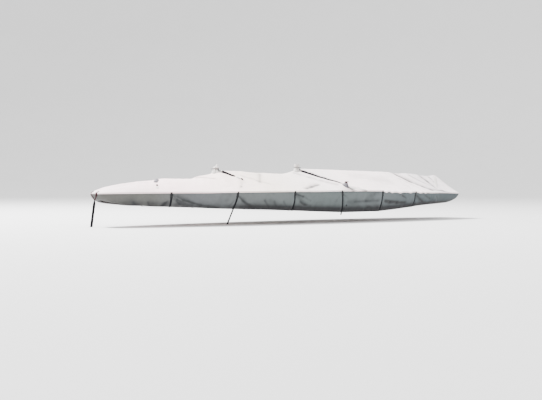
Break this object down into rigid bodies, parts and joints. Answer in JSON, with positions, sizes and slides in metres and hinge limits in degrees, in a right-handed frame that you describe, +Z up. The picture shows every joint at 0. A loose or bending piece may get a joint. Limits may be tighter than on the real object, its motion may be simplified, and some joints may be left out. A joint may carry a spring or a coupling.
{
  "type": "boat cover",
  "caption": "Fitted cloth boat cover for a long shallow racing hull stored mast up: white top, grey sides, boots for mast and stays, buckled side straps.",
  "frame": {"origin": "on the centreline at half the cover's length, level with the sheer line, where the boat's deck lies under the top cloth", "axes": "+X from bow to stern, +Y to starboard, +Z up"},
  "size_m": [11.654, 2.6089, 1.5251],
  "materials": {
    "top_canvas": "white coated woven canvas",
    "side_canvas": "light grey coated woven canvas",
    "white_patch": "white coated woven canvas, sewn patch",
    "grey_boot": "grey coated woven canvas",
    "dark_webbing": "flat woven webbing, matte",
    "dark_grip_tape": "hook and loop tape, matte",
    "red_webbing": "dark red woven webbing",
    "black_plastic": "moulded plastic, satin",
    "dark_cord": "braided cord, matte"
  },
  "bodies": {
    "root": {"backstay_flap": "white_patch", "belly_strap_1": "dark_webbing", "belly_strap_3": "dark_webbing", "belly_strap_5": "dark_webbing", "belly_strap_6": "dark_webbing", "bow_bridle": "red_webbing", "bow_strap": "dark_webbing", "buckle_1_port": "black_plastic", "buckle_1_starboard": "black_plastic", "buckle_2_port": "black_plastic", "buckle_2_starboard": "black_plastic", "buckle_3_port": "black_plastic", "buckle_3_starboard": "black_plastic", "buckle_4_port": "black_plastic", "buckle_4_starboard": "black_plastic", "buckle_5_port": "black_plastic", "buckle_5_starboard": "black_plastic", "buckle_6_port": "black_plastic", "buckle_6_starboard": "black_plastic", "forestay_patch": "dark_grip_tape", "forestay_tab": "white_patch", "forestay_toggle": "dark_grip_tape", "forward_boot": "white_patch", "forward_closure": "dark_grip_tape", "forward_ear": "white_patch", "forward_tab": "white_patch", "forward_tie": "dark_cord", "forward_toggle": "dark_grip_tape", "mast_collar": "white_patch", "mast_tie": "dark_cord", "shroud_boot_port": "grey_boot", "shroud_boot_starboard": "grey_boot", "shroud_closure_port": "dark_grip_tape", "shroud_closure_starboard": "dark_grip_tape", "shroud_flap_port": "white_patch", "shroud_flap_starboard": "white_patch", "shroud_tie_port": "red_webbing", "shroud_tie_starboard": "red_webbing", "side_patch": "black_plastic", "skirt_port": "side_canvas", "skirt_starboard": "side_canvas", "tie_strap_2_port": "dark_webbing", "tie_strap_2_starboard": "dark_webbing", "tie_strap_4_port": "dark_webbing", "tie_strap_4_starboard": "dark_webbing", "top_aft": "top_canvas", "top_forward": "top_canvas"}
  },
  "joints": []
}
